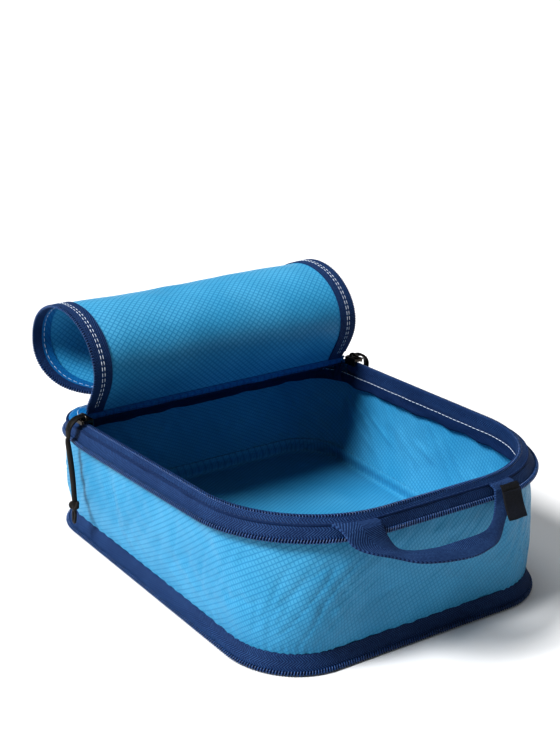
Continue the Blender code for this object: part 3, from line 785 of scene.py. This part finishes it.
def make_rim():
    """The skirt with the upper compression zip, the rim's zip, and what the rim shows inside."""
    shares = [0.04 + 0.88 * i / 8 for i in range(9)]
    rows = band_rows(SEAM, SKIRT_EDGE, shares, AROUND, True, 1, 0.0006, 0.013, 1.0)
    rows = [[tucked(p, share) for p in row] for row, share in zip(rows, shares)]
    finish_piece(band("upper tape", rows, TAPE_THICK, True), "rim", "navy_tape", "upper_compression_tape")
    coil_round("upper coil", mix(SEAM, SKIRT_EDGE, 0.70), SKIRT_EDGE, AROUND, True, "rim",
               "upper_compression_coil", 0.00120, 0.00045, 0.00034, 1, 0.0005)

    shares = [0.02 + 0.92 * i / 6 for i in range(7)]
    rows = band_rows(SEAM, RIM_TOP, shares, OPEN_WAY, False, 1, 0.0003, 0.015, 2.0)
    finish_piece(band("rim tape", rows, 0.0008, False, False), "rim", "navy_tape", "rim_zip_tape")
    coil_round("rim coil", mix(SEAM, RIM_TOP, 0.82), RIM_TOP, OPEN_WAY, False, "rim", "rim_zip_coil",
               0.00080, 0.00055, 0.00030, 1, -0.0004)

    # Inside, the tape hangs down behind the seam; below it comes the binding, puckered by its stitches.
    top = RIM_TOP._replace(half=0.0868, front=-0.0986, rear=0.0939, z=0.0765)
    low = Ring(0.0885, -0.1000, 0.0960, 0.0576, 0.0210, 0.0660)
    rows = []
    for j in range(9):
        share = j / 8
        ring = mix(top, low, share**0.8)._replace(z=top.z + (low.z - top.z) * share)
        line = ring_line(ring, OPEN_WAY)
        rows.append([p + way * noise.noise(Vector((u * 55, share * 1.5, 6.0))) * 0.0009 * share
                     for p, way, u in zip(line, outward(line, False), OPEN_U)])
    piece = cloth("rim tape facing", rows[::-1], distances(rows[4]), row_heights(rows), TAPE, 0.0005)
    finish_piece(piece, "rim", "navy_tape")

    line = ring_line(Ring(0.0876, -0.0992, 0.0952, 0.0570, 0.0205, 0.0680), AROUND)
    outs = outward(line, True)
    rows = []
    for j in range(8):
        share = j / 7
        row = []
        for p, way, u in zip(line, outs, AROUND_U):
            wave = noise.noise(Vector((u * 85, share * 1.3, 4.0))) * (0.0004 + 0.0016 * share)
            drop = 0.0068 * share + noise.noise(Vector((u * 75, 0, 8.0))) * 0.0012 * share
            row.append(p + way * wave - Vector((0, 0, drop)))
        rows.append(row)
    us, vs = distances(rows[3], True), row_heights(rows)
    piece = cloth("seam binding", rows[::-1], us, vs, TAPE_FLAT, 0.0007, closed=True)
    finish_piece(piece, "rim", "navy_tape", "rim_seam_binding", squash=((0, -0.0992, 0.0684), 0.35),
                 squash_axis=tuple(Vector((0, RIM_FALL, 1)).normalized()))

    # White stitches along the top of the binding, and navy ones outside, next to the seam.
    sheet = Sheet()
    line = [p.lerp(q, 0.4) for p, q in zip(rows[0], rows[1])]
    outs = outward(line, True)
    inside = [p - way * 0.0009 for p, way in zip(line, outs)]
    stitches_along(sheet, inside, [-way for way in outs], 0.0030, 0.0008, closed=True)
    finish_piece(sheet.build("rim stitches inside", [THREAD]), "rim", "navy_tape")
    sheet = Sheet()
    line = ring_line(mix(SEAM, RIM_TOP, 0.17), OPEN_WAY)
    ups = [(way * 0.66 + UP * 0.75).normalized() for way in outward(line, False)]
    stitches_along(sheet, [p + up * 0.00004 for p, up in zip(line, ups)], ups, 0.0026)
    finish_piece(sheet.build("rim stitches outside", [NAVY_THREAD]), "rim", "navy_tape")
    sheet = Sheet()
    sheet.tube(ring_line(grown(SEAM, -0.0007), AROUND), 0.0009, sides=6, closed=True)
    finish_piece(sheet.build("seam cord", [TAPE_FLAT]), "rim", "navy_tape")


def slab_rows(half_at, front, rear, lift, count_y, count_x, wrinkle, seed):
    """Rows of a strip across the rear of the rim, from its front edge to its rear one, and their y."""
    rows, ys = [], []
    for j in range(count_y + 1):
        y = front + (rear - front) * j / count_y
        half = half_at(y)
        row = []
        for i in range(count_x + 1):
            x = -half + 2 * half * i / count_x
            push = noise.noise(Vector((x * 70, y * 70, seed))) * wrinkle
            row.append(fallen(x, y, lift + push))
        rows.append(row)
        ys.append(y)
    return rows, ys


def make_back():
    """The cloth strip behind the lid's hinge, its stitches and the bindings next to it."""
    half, front, rear, corner_radius, lift = 0.0900, 0.0772, 0.0972, 0.0210, 0.0750
    across = 90

    def half_at(y):
        past = y - (rear - corner_radius)
        return half if past <= 0 else half - corner_radius + math.sqrt(max(corner_radius**2 - past**2, 1e-9))

    rows, ys = slab_rows(half_at, front, rear, lift, 18, across, 0.0007, 6.0)
    for row, y in zip(rows, ys):
        for p in row:
            inside = min(half_at(y) - abs(p.x), rear - y)
            p.z -= 0.0022 * max(0.0, 1 - inside / 0.0040) ** 2
            p.z += 0.0009 * min(1.0, inside / 0.008) * math.sin(p.x * 170 + y * 240)
    # Its front edge turns up and forward into the lid.
    rise = smooth_through([(0, HINGE_Y - 0.0002, 0.0663), (0, 0.0764, 0.0652), (0, 0.0770, 0.0638),
                           tuple(rows[0][0])], 8)
    lip = [[Vector((-0.0850 + 0.1700 * i / across, p.y, p.z)) for i in range(across + 1)] for p in rise[:-1]]
    rows, ys = lip + rows, [front - 0.0006 * (7 - k) for k in range(7)] + ys
    xs = [2 * half * i / across for i in range(across + 1)]
    piece = cloth("back strip cloth", rows, xs, ys, CLOTH_DOUBLE, 0.0009, 0.0, from_above=True)
    finish_piece(piece, "rim", "ripstop", "back_strip")
    edge = []
    for i in range(61):
        y = front + 0.0015 + (rear - 0.0050 - front - 0.0015) * math.sin(i / 60 * math.pi / 2)
        edge.append((half_at(min(y + 0.0020, rear)) - 0.0046, y))
    end_x, end_y = edge[-1]
    lines = [[(sign * x, y) for x, y in edge] for sign in (-1, 1)]
    lines.append([(-end_x + 2 * end_x * i / 80, end_y) for i in range(81)])
    sheet = Sheet()
    for line in lines:
        stitches_along(sheet, [fallen(x, y, lift + 0.0009) for x, y in line], [UP] * len(line))
    finish_piece(sheet.build("back strip stitches", [THREAD]), "rim", "ripstop")

    # Bindings: one under the lid's hinge, and one up each inner rear corner.
    rows, ys = slab_rows(lambda y: 0.0852, 0.0772, 0.0820, 0.0731, 4, 60, 0.0003, 2.0)
    xs = [0.1704 * i / 60 for i in range(61)]
    piece = cloth("hinge binding", rows, xs, ys, TAPE_FLAT, 0.0008, 0.0)
    finish_piece(piece, "rim", "navy_tape", "lid_hinge_binding")
    for sign in (-1, 1):
        rows = []
        for j in range(9):
            x, z = 0.0842 + 0.0003 * math.sin(j * 0.9), 0.0722 - 0.0092 * j / 8
            rows.append([fallen(sign * (x + 0.0004 * math.sin(i)), 0.0766 + 0.0054 * i / 6, z)
                         for i in range(7)])
        us, vs = [0.0008 * i for i in range(7)], [0.001 * j for j in range(9)]
        piece = cloth(f"corner tape {side_of(sign)}", rows, us, vs, TAPE_FLAT, 0.0009, 0.0)
        finish_piece(piece, "rim", "navy_tape", f"corner_binding_{side_of(sign)}")


# Lid --------------------------------------------------------------------------------------------
def lid_path():
    """The rolled lid seen from the side: up from the hinge, over, down the back and in underneath."""
    steps, rise_steps = 2000, 100
    turn = [math.pi - (1 + ROLL_TURN) * math.pi * i / steps for i in range(steps + 1)]
    centre = Vector((0, *ROLL_CENTRE))
    roll = [centre + Vector((0, ROLL_RADII[0] * math.cos(a), ROLL_RADII[1] * math.sin(a))) for a in turn]
    start = fallen(0, HINGE_Y, RIM_TOP.z + HINGE_LIFT)
    reach = (roll[0] - start).length
    leave = HINGE_START.normalized() * reach
    arrive = (roll[1] - roll[0]).normalized() * reach
    rise = []
    for step in range(rise_steps):
        t = step / rise_steps
        rise.append(
            (2 * t**3 - 3 * t**2 + 1) * start + (t**3 - 2 * t**2 + t) * leave
            + (3 * t**2 - 2 * t**3) * roll[0] + (t**3 - t**2) * arrive
        )
    return rise + roll


PATH = lid_path()
PATH_LENGTHS = distances(PATH)
PANEL = LID_LENGTH / LID_PANELS
STRAIGHT = LID_LENGTH - LID_CORNER
SIDE = LID_HALF - LID_CORNER


def lid_point(along):
    """The place on the lid's path this far from the hinge, and the way its inner face looks."""
    i = min(max(bisect.bisect_right(PATH_LENGTHS, along) - 1, 0), len(PATH) - 2)
    share = (along - PATH_LENGTHS[i]) / (PATH_LENGTHS[i + 1] - PATH_LENGTHS[i])
    tangent = (PATH[min(i + 3, len(PATH) - 1)] - PATH[max(i - 3, 0)]).normalized()
    return PATH[i].lerp(PATH[i + 1], share), Vector((0, -tangent.z, tangent.y))


def lid_half(along, border):
    """Half the lid's width this far from its hinge, inside a border of that width."""
    past = along - STRAIGHT
    if past <= 0:
        return LID_HALF - border
    return SIDE + math.sqrt(max((LID_CORNER - border) ** 2 - past**2, 0.0))


def border_place(x, along):
    """Where a point lies on the zip's tape: distance along it, and distance in from the edge."""
    past, over = along - STRAIGHT, abs(x) - SIDE
    if past <= 0:
        return along, LID_HALF - abs(x)
    if over > 0:
        return STRAIGHT + math.atan2(past, over) * LID_CORNER, LID_CORNER - math.hypot(past, over)
    return STRAIGHT + math.pi / 2 * LID_CORNER - over, LID_LENGTH - along


def on_lid(x, along, off=0.0):
    """A point on the rolled cloth, with its slack; off is how far it stands off the inner face."""
    base, normal = lid_point(min(max(along, 0.0), PATH_LENGTHS[-1] - 1e-5))
    inner = min(1.0, max(0.0, (LID_HALF - abs(x)) / 0.02))
    slack = noise.noise(Vector((x * 22, along * 30, 1.5))) * 0.0011 * inner
    slack += noise.noise(Vector((x * 60 + along * 25, along * 70, 7.5))) * 0.0004 * (0.3 + 0.7 * inner)
    slack *= min(1.0, along / 0.012)
    across = min(1, max(0, (x + LID_HALF) / (2 * LID_HALF)))
    sag = -0.0005 * math.sin(math.pi * across) * min(1.0, along / 0.05)
    return base + normal * (slack + sag + off) + Vector((x, 0, 0))


def lid_strips():
    """Each strip's number, and its start and end along the lid."""
    middles = [(i - 0.5) * PANEL for i in range(1, LID_PANELS + 1)]
    edges = [0.0, *middles, LID_LENGTH]
    for i, (start, end) in enumerate(zip(edges, edges[1:])):
        yield i, start, end


def carry(piece, i, start, end, slot, *nodes):
    """Hides the CAD nodes that strip i stands for; the last strip rides the last panel, and the others stay
    as built, with their transform baked into the mesh.
    """
    if nodes:
        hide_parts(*nodes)
    if i == LID_PANELS:
        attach(piece, f"lid_{LID_PANELS:02d}")
        return
    a, _ = lid_point(start + 0.0008)
    b, _ = lid_point(end - 0.0008)
    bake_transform(piece)


def patch(sheet, start, end, low, high, columns, off, slot=0, wrap=False, mirror=1):
    """Cloth between two borders of the lid, in rows from start to end; the first and last are narrow."""
    thin = 0.00006
    count = max(2, round((end - start) / 0.0018))
    middle = [start + (end - start) * j / count for j in range(1, count)]
    rows = []
    for along in (start, start + thin, *middle, end - thin, end):
        a, b = low(along), high(along)
        rows.append([(a + (b - a) * k / columns, along) for k in range(columns + 1)])
    base, wide = len(sheet.points), columns + 1
    for row in rows:
        sheet.points.extend(on_lid(mirror * x, along, off) for x, along in row)
    for j in range(len(rows) - 1):
        for k in range(columns):
            a, b = base + j * wide + k, base + (j + 1) * wide + k
            at = (rows[j][k], rows[j][k + 1], rows[j + 1][k + 1], rows[j + 1][k])
            places = tuple(border_place(*place) for place in at) if wrap else at
            sheet.add((a, a + 1, b + 1, b)[::mirror], places[::mirror], slot)


def lid_outline(border, step=0.0005):
    """The lid's edge inside a border, from the left end of its hinge round to the right, as (x, along)."""
    radius, first = LID_CORNER - border, 0.004
    count = round(STRAIGHT / step)
    half = [(LID_HALF - border, first + (STRAIGHT - first) * i / count) for i in range(count)]
    count = round(radius * math.pi / 2 / step)
    for i in range(count + 1):
        turn = math.pi / 2 * i / count
        half.append((SIDE + radius * math.cos(turn), STRAIGHT + radius * math.sin(turn)))
    count = round(2 * SIDE / step)
    across = [(-SIDE + 2 * SIDE * i / count, LID_LENGTH - border) for i in range(1, count)]
    return [(-x, s) for x, s in half] + across + half[::-1]


def strip_of(along):
    """The number of the strip that lies this far from the lid's hinge."""
    return min(LID_PANELS, max(0, int(along / PANEL + 0.5)))


def runs(places):
    """Splits a line on the lid wherever it passes from one strip to the next."""
    found, run = [], [places[0]]
    for a, b in zip(places, places[1:]):
        run.append(b)
        if strip_of(a[1]) != strip_of(b[1]):
            found.append((strip_of(run[0][1]), run))
            run = [b]
    found.append((strip_of(run[0][1]), run))
    return found


def add_lid_cloth(tops, tapes):
    """Each strip's cloth, and on both sides its zip tape: a face, a back and a folded hem."""
    bands = ((0.0105, 0.0012, 6, 0.00050, 0), (0.0052, 0.0012, 4, -0.00050, 0),
             (0.0105, 0.0052, 4, -0.00045, 1))
    border = 0.0040
    for i, start, end in lid_strips():
        if start < LID_LENGTH - border:
            patch(tops[i], start, min(end, LID_LENGTH - border), lambda s: -lid_half(s, border),
                  lambda s: lid_half(s, border), 64, 0.0)
        for mirror in (-1, 1):
            for low, high, columns, off, slot in bands:
                if start < LID_LENGTH - high:
                    patch(tapes[i], start, min(end, LID_LENGTH - high),
                          lambda s, low=low: lid_half(s, low) if s < LID_LENGTH - low else 0.0,
                          lambda s, high=high: lid_half(s, high), columns, off, slot, True, mirror)


def add_lid_coil(coils):
    """The coil on the lid's edge, wound round the whole of it and then shared between the strips."""
    edge = [Vector(place) for place in lid_outline(0.0008, 0.0006)]
    lengths = distances(edge)
    count = round(lengths[-1] / COIL_PITCH) * LID_COIL_STEPS
    wheres = (lengths[-1] * step / count for step in range(count + 1))
    wound = []
    for step, (k, share) in enumerate(walked(lengths, wheres)):
        along = edge[k + 1] - edge[k]
        turn = 2 * math.pi * step / LID_COIL_STEPS
        at = edge[k] + along * share - Vector((along.y, -along.x)).normalized() * 0.0009 * math.cos(turn)
        wound.append((at.x, at.y, 0.0005 * math.sin(turn)))
    for i, run in runs(wound):
        coils[i].tube([on_lid(x, min(s, LID_LENGTH), off) for x, s, off in run], 0.00032, sides=4)
    for i, run in runs([(x, s) for x, s in edge[::3]]):
        coils[i].tube([on_lid(x, s) for x, s in run], 0.00055, sides=6, slot=1)


def add_lid_stitches(threads):
    """White stitches: two rows on the inner face, and a finer one along the hem on the other."""
    for border, off, thread, pitch in ((0.0047, 1, 0.00017, 0.0030), (0.0061, 1, 0.00017, 0.0030),
                                       (0.0066, -1, 0.00012, 0.0034)):
        line = lid_outline(border, pitch)
        for (ax, a), (bx, b) in zip(line, line[1:]):
            start = on_lid(ax + (bx - ax) * 0.18, a + (b - a) * 0.18, off * 0.00075)
            end = on_lid(bx - (bx - ax) * 0.18, b - (b - a) * 0.18, off * 0.00075)
            _, normal = lid_point(a)
            stitch(threads[strip_of((a + b) / 2)], start, end, normal * off, thread)


def make_lid():
    """The lid in its strips: cloth, tapes, coil and stitches, with the CAD panels that they stand for."""
    tops, tapes, coils, threads = ([Sheet() for _ in range(LID_PANELS + 1)] for _ in range(4))
    add_lid_cloth(tops, tapes)
    add_lid_coil(coils)
    add_lid_stitches(threads)
    for i, start, end in lid_strips():
        panel = [f"lid_panel_{i:02d}"] if i else []
        if tops[i].faces:
            piece = split_edges(thicken(tops[i].build(f"lid cloth {i:02d}", [CLOTH_LID]), CLOTH_THICK, 0.0))
            carry(piece, i, start, end, "ripstop", *panel)
        zips = [f"lid_zip_left_{i:02d}", f"lid_zip_right_{i:02d}"] if 0 < i < LID_PANELS else []
        if i == LID_PANELS:
            zips = ["lid_zip_front", *([] if tops[i].faces else panel)]
        piece = tapes[i].build(f"lid tape {i:02d}", [TAPE, CLOTH_DOUBLE])
        carry(split_edges(thicken(piece, 0.00045, 0.0)), i, start, end, "navy_tape", *zips)
        if coils[i].faces:
            carry(coils[i].build(f"lid coil {i:02d}", [COIL, COIL_CORE]), i, start, end, "navy_coil")
        if threads[i].faces:
            carry(threads[i].build(f"lid stitches {i:02d}", [THREAD]), i, start, end, "navy_tape")


# Sliders, pulls and the slider of the lower zip -------------------------------------------------
def block(sheet, centre, half, along=Vector((0, 1, 0)), up=UP, taper=1.0):
    """A box, narrower at its far end where taper is under 1."""
    side = along.cross(up).normalized()
    base = len(sheet.points)
    for c in (-1, 1):
        for a, b in ((-1, -1), (1, -1), (1, 1), (-1, 1)):
            wide = half[0] * (taper if b > 0 else 1.0)
            sheet.points.append(centre + side * a * wide + along * b * half[1] + up * c * half[2])
    for face in ((3, 2, 1, 0), (4, 5, 6, 7), (0, 1, 5, 4), (1, 2, 6, 5), (2, 3, 7, 6), (3, 0, 4, 7)):
        sheet.add(tuple(base + k for k in face), ((0, 0), (0.001, 0), (0.001, 0.001), (0, 0.001)))


def make_slider(sign):
    """A slider on the rim's zip, with the loop that holds its pull."""
    side = side_of(sign)
    body = f"zip_slider_{side}"
    along = Vector((0, 1, -RIM_FALL)).normalized()
    up = Vector((1, 0, 0)).cross(along).normalized()
    out = Vector((sign, 0, 0))
    home = fallen(sign * RIM_TOP.half, SLIDER_Y, RIM_TOP.z)
    sheet = Sheet()
    block(sheet, home + up * 0.00215, (0.0031, 0.0044, 0.00042), along, up, 0.72)
    block(sheet, home + up * 0.00020 - out * 0.0027, (0.0005, 0.0043, 0.0022), along, up)
    block(sheet, home + up * 0.00095 + out * 0.0028, (0.0005, 0.0036, 0.0011), along, up)
    block(sheet, home - along * 0.0030 + up * 0.0015 - out * 0.0001, (0.0029, 0.0012, 0.0010), along, up, 1.1)
    piece = soften(sheet.build(f"slider body {side}", [METAL], smooth=False), 0.00032, 3)
    finish_piece(piece, body, "black_metal", f"slider_{side}")
    arch = Sheet()
    line = []
    for i in range(17):
        turn = math.pi * i / 16
        line.append(home + along * -0.0033 * math.cos(turn) + up * (0.0022 + 0.0021 * math.sin(turn) ** 0.7))
    arch.tube(line, 0.00085, sides=10, squeeze=0.55, start_up=UP)
    finish_piece(arch.build(f"slider loop {side}", [METAL]), body, "black_metal")


def make_pull(sign):
    """The flat pull that bends over the rim and down, with ribs where it is held."""
    side = side_of(sign)
    body = f"zip_pull_{side}"
    top = fallen(0, SLIDER_Y, RIM_TOP.z + 0.0029 + 0.0005).z
    bend = ((-0.0008, top), (0.0020, top + 0.0002), (0.0046, top - 0.0003), (0.0074, top - 0.0022),
            (0.0090, top - 0.0050), (0.0093, 0.0600), (0.0094, 0.0574))
    count = 34
    line = smooth_through([(RIM_TOP.half + x, SLIDER_Y, z) for x, z in bend], count)
    widths = []
    for i, p in enumerate(line):
        p.x *= sign
        t = i / (count - 1)
        ends = [math.sqrt(max(1 - max(0, past) ** 2, 0.12)) for past in ((t - 0.9) / 0.1, (0.08 - t) / 0.08)]
        widths.append((0.00195 + 0.00045 * math.sin(math.pi * t)) * min(1.0, *ends))
    sheet = Sheet()
    sheet.tube(line, widths, sides=14, squeeze=0.30, start_up=UP)
    grip = Sheet()
    for i in range(14, 26, 3):
        a, b = (line[i] + Vector((sign * 0.00052, y, 0.0003)) for y in (-0.0013, 0.0013))
        grip.tube([a, a.lerp(b, 0.5) + Vector((sign * 0.0001, 0, 0)), b], 0.00022, sides=6)
    finish_piece(sheet.build(f"pull tab {side}", [RUBBER]), body, "black_rubber", f"pull_{side}")
    finish_piece(grip.build(f"pull ribs {side}", [RUBBER]), body, "black_rubber")


def make_lower_slider():
    """The compression zip's slider, its loop and its pull, in the middle of the rear."""
    sheet = Sheet()
    block(sheet, Vector((0, 0.1031, 0.0030)), (0.0043, 0.0014, 0.0005), taper=0.9)
    block(sheet, Vector((0, 0.1040, 0.0017)), (0.0040, 0.0005, 0.0014))
    piece = soften(sheet.build("lower slider", [METAL], smooth=False), 0.0003, 3)
    finish_piece(piece, "lower_slider", "black_metal", "compression_slider")
    arch = Sheet()
    line = [Vector((-0.0028 * math.cos(turn), 0.1030, 0.0033 + 0.0016 * math.sin(turn)))
            for turn in (math.pi * i / 12 for i in range(13))]
    arch.tube(line, 0.0006, sides=8)
    finish_piece(arch.build("lower slider loop", [METAL]), "lower_slider", "black_metal")
    line = smooth_through([(0, 0.1054, 0.0014), (0, 0.1080, 0.0014),
                           (0, 0.1130, 0.0012), (0, 0.1192, 0.0011)], 24)
    widths = [0.0019 * math.sqrt(max(0.15, 1 - (abs(i / 23 - 0.5) * 2) ** 8)) for i in range(24)]
    tab = Sheet()
    tab.tube(line, widths, sides=14, squeeze=0.30, start_up=UP)
    finish_piece(tab.build("lower pull", [RUBBER]), "lower_pull", "black_rubber", "compression_pull")


# Handle and label -------------------------------------------------------------------------------
def webbing(name, rows, us):
    """A length of webbing, whose rows run along it."""
    vs = [HANDLE_WIDE * k / 12 for k in range(13)]
    return soften(cloth(name, rows, us, vs, WEBBING, WEBBING_THICK, 0.0), 0.00035, 3)


def make_handle():
    """The handle, its sewn ends and the label folded round the right one."""
    flat = ((0, HANDLE_AXIS_Y, 0.0722), 0.45)
    outer, inner = smooth_through(HANDLE_OUTER, 150), smooth_through(HANDLE_INNER, 150)
    middles = [a + b for a, b in zip(outer, inner)]
    columns = []
    for i, (a, b, along) in enumerate(zip(outer, inner, ways_along(middles, False))):
        normal = along.cross(b - a).normalized()
        column = []
        for k in range(13):
            share = k / 12
            crown = math.sin(math.pi * share) * 0.0004
            wave = noise.noise(Vector((i * 0.045, share * 1.4, 5.0))) * 0.0009
            column.append(a.lerp(b, share) + normal * (crown + wave))
        columns.append(column)
    rows = [list(row) for row in zip(*columns)]
    finish_piece(webbing("handle webbing", rows, distances(rows[6])), "handle", "webbing", "handle_webbing",
                 squash=flat)

    # The webbing's ends, sewn into the seam behind the line it swings about.
    for name, first, last in (("left", -0.0575, -0.0365), ("right", 0.0315, 0.0450)):
        rows = []
        for k in range(13):
            x = first + (last - first) * k / 12
            past = max(0.0, abs(x) - (SEAM.half - SEAM.front_radius))
            seam_y = SEAM.front + SEAM.front_radius - math.sqrt(SEAM.front_radius**2 - past**2)
            rows.append(smooth_through([(x, seam_y + 0.0012, 0.0728), (x, (seam_y - 0.1058) / 2, 0.0730),
                                        (x, -0.1056, 0.0722), (x, -0.1066, 0.0712)], 14))
        piece = webbing(f"handle end {name}", rows[::-1], [0.0008 * i for i in range(14)])
        finish_piece(piece, "rim", "webbing")

    # The label goes down behind the webbing, round its lower edge and up its front.
    path = smooth_through([(0, -0.1062, 0.0738), (0, -0.1076, 0.0716), (0, -0.1103, 0.0655),
                           (0, -0.1136, 0.0604), (0, -0.1150, 0.0592), (0, -0.1146, 0.0604),
                           (0, -0.1118, 0.0650), (0, -0.1092, 0.0712)], 48)
    rows = []
    for k in range(7):
        x = 0.0345 + 0.0110 * k / 6
        rows.append([Vector((x + 0.0003 * math.sin(i * 0.1), p.y - 0.0002 * math.sin(k + i * 0.2), p.z))
                     for i, p in enumerate(path)])
    us, vs = [0.0009 * i for i in range(48)], [0.0018 * k for k in range(7)]
    piece = soften(cloth("label", rows, us, vs, LABEL, 0.0005, 0.0), 0.00012)
    finish_piece(piece, "handle", "label", "label_tag", squash=flat)


make_base()
make_gusset()
make_lower_tape()
make_rim()
make_back()
make_lid()
for sign in (-1, 1):
    make_slider(sign)
    make_pull(sign)
make_lower_slider()
make_handle()
